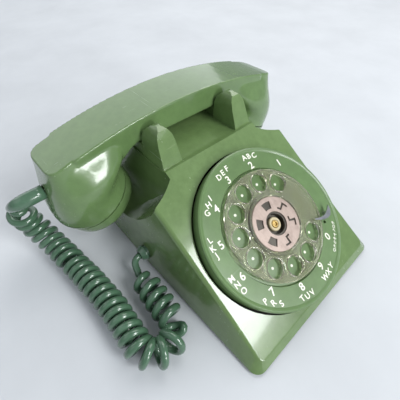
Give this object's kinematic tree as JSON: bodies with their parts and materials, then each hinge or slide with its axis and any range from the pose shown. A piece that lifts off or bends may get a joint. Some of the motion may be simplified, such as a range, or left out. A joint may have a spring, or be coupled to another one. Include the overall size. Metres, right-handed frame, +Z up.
{
  "type": "corded rotary telephone",
  "caption": "Green rotary desk telephone with a lift-off handset on a cradle, clear finger wheel, coiled handset cord, hook plungers and bell ringer inside.",
  "frame": {"origin": "centre of the base footprint on the table", "axes": "+Z up, +X to the right of a person facing the dial, front of the phone towards -Y; the handset lies along X"},
  "size_m": [0.2387, 0.2208, 0.0976],
  "materials": {
    "housing_green": "glossy moss green moulded plastic with fine scratches",
    "handset_green": "glossy moss green moulded plastic",
    "plate_green": "satin green plastic number plate",
    "dot_white": "white marks",
    "clear": "clear acrylic, slightly yellowed",
    "beige": "pinkish beige stamped metal",
    "dark_metal": "dark plated steel",
    "steel": "zinc plated steel",
    "bright": "polished stainless steel",
    "brass": "brass",
    "cream": "cream nylon",
    "rubber": "black rubber",
    "black_plastic": "black moulded plastic",
    "copper": "enamelled copper winding",
    "cord_green": "glossy green vinyl cord, slightly bluer than the housing"
  },
  "bodies": {
    "housing": {"housing_shell": "housing_green", "base_plate": "steel", "rubber_feet": "rubber", "housing_screws": "steel", "number_plate": "plate_green", "index_dots": "dot_white", "dial_frame": "steel", "dial_screws": "steel", "governor_drum": "steel", "pulse_contacts": "black_plastic", "finger_stop": "bright", "dial_bracket": "steel", "network_block": "black_plastic", "terminal_screws": "brass", "ringer_frame": "steel", "ringer_coil": "copper", "ringer_core": "steel", "gong_left": "brass", "gong_right": "brass", "gong_posts": "steel", "clapper_pivot": "steel", "volume_bracket": "steel", "hook_bracket": "steel", "hook_contacts": "black_plastic", "handset_cord_bushing": "cord_green", "line_cord_inlet": "rubber", "handset_cord_coil": "cord_green", "handset_cord_lead_top": "cord_green", "handset_cord_lead_base": "cord_green"},
    "finger_wheel_set": {"finger_wheel": "clear", "centre_plate": "beige", "wheel_hub": "dark_metal", "hub_bushing": "cream", "dial_shaft": "brass", "main_gear": "brass", "spring_barrel": "steel", "return_spring": "steel"},
    "pulse_set": {"pulse_pinion": "brass", "pulse_cam": "black_plastic", "pulse_arbor": "steel"},
    "governor_set": {"governor": "brass"},
    "left_plunger": {"plunger_left": "housing_green"},
    "right_plunger": {"plunger_right": "housing_green"},
    "switch_lever": {"hook_lever": "steel"},
    "bell_clapper": {"clapper": "steel"},
    "loudness_wheel": {"volume_wheel": "black_plastic"},
    "handset": {"handset_body": "handset_green", "transmitter_cap": "handset_green", "receiver_cap": "handset_green", "transmitter_unit": "dark_metal", "receiver_unit": "dark_metal", "contact_cup": "black_plastic", "handset_cord_relief": "cord_green"}
  },
  "joints": [
    {"name": "finger_wheel_turn", "type": "hinge", "parent": "housing", "child": "finger_wheel_set", "pos_m": [0, -0.0596, 0.04084], "axis": [0, -0.518, 0.8554], "range_deg": [-330, 0], "stiffness_Nm_per_rad": 0.0035, "springref_deg": 68.75},
    {"name": "pulse_gear_turn", "type": "hinge", "parent": "housing", "child": "pulse_set", "pos_m": [0.00641, -0.03397, 0.04467], "axis": [0, -0.518, 0.8554], "range_deg": [0, 1650]},
    {"name": "governor_turn", "type": "hinge", "parent": "housing", "child": "governor_set", "pos_m": [-0.02354, -0.05982, 0.02902], "axis": [0, -0.518, 0.8554], "range_deg": [0, 1815]},
    {"name": "handset_lift", "type": "slide", "parent": "housing", "child": "handset", "axis": [0, 0, 1], "range_m": [0, 0.08]},
    {"name": "left_plunger_rise", "type": "slide", "parent": "housing", "child": "left_plunger", "axis": [0, 0, 1], "range_m": [0, 0.006]},
    {"name": "right_plunger_rise", "type": "slide", "parent": "housing", "child": "right_plunger", "axis": [0, 0, 1], "range_m": [0, 0.006]},
    {"name": "switch_lever_turn", "type": "hinge", "parent": "housing", "child": "switch_lever", "pos_m": [0, 0.0284, 0.042], "axis": [1, 0, 0], "range_deg": [0, 18]},
    {"name": "clapper_swing", "type": "hinge", "parent": "housing", "child": "bell_clapper", "pos_m": [-0.0085, 0.0755, 0.022], "axis": [0, 0, 1], "range_deg": [-8, 8], "stiffness_Nm_per_rad": 0.002},
    {"name": "loudness_turn", "type": "hinge", "parent": "housing", "child": "loudness_wheel", "pos_m": [0.038, 0.0524, 0.0142], "axis": [1, 0, 0], "range_deg": [-60, 60]}
  ],
  "couplings": [
    {"joint": "pulse_gear_turn", "follows": "finger_wheel_turn", "ratio": -5},
    {"joint": "governor_turn", "follows": "finger_wheel_turn", "ratio": -5.5},
    {"joint": "left_plunger_rise", "follows": "handset_lift", "ratio": 0.075},
    {"joint": "right_plunger_rise", "follows": "handset_lift", "ratio": 0.075},
    {"joint": "switch_lever_turn", "follows": "handset_lift", "rad_per_m": 3.9052}
  ]
}
